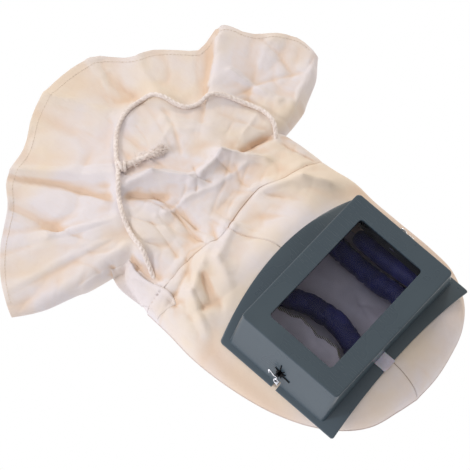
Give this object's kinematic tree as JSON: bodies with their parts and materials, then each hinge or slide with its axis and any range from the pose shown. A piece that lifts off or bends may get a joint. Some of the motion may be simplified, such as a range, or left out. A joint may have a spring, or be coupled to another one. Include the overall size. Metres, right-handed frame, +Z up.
{
  "type": "sandblasting hood",
  "caption": "Cotton canvas blasting hood with shoulder cape, neck drawcord and moulded window frame, lying on its back.",
  "frame": {"origin": "bottom centre of the hood's box as it lies on its back, without the cord", "axes": "+X to the crown, -X to the cape's hem, +Z up through the window"},
  "size_m": [0.5564, 0.4702, 0.0981],
  "materials": {
    "canvas": "matt cream cotton canvas",
    "frame_plastic": "satin grey-green moulded plastic",
    "window_pane": "clear",
    "black_rubber": "matt",
    "black_steel": "black phosphate",
    "chrome_wire": "bright",
    "tab_plastic": "milky translucent",
    "cotton_rope": "twisted cotton",
    "navy_satin": "satin",
    "grey_lining": "soft lavender grey"
  },
  "bodies": {
    "root": {"window_frame": "frame_plastic", "window_glass": "window_pane", "glass_gasket": "black_rubber", "retainer_strip": "black_rubber", "retainer_screw": "black_steel", "retainer_clip": "chrome_wire", "star_washer_left": "black_steel", "star_washer_right": "black_steel", "spring_clip_left": "chrome_wire", "spring_clip_right": "chrome_wire", "crown_tab": "tab_plastic", "head_left": "canvas", "head_right": "canvas", "head_back": "canvas", "cape_front": "canvas", "cape_back": "canvas", "drawcord": "cotton_rope", "drawcord_back": "cotton_rope", "cord_tail": "cotton_rope", "roll_left": "navy_satin", "roll_right_low": "navy_satin", "roll_right_high": "navy_satin", "liner_back": "grey_lining", "liner_flap": "grey_lining"}
  },
  "joints": []
}
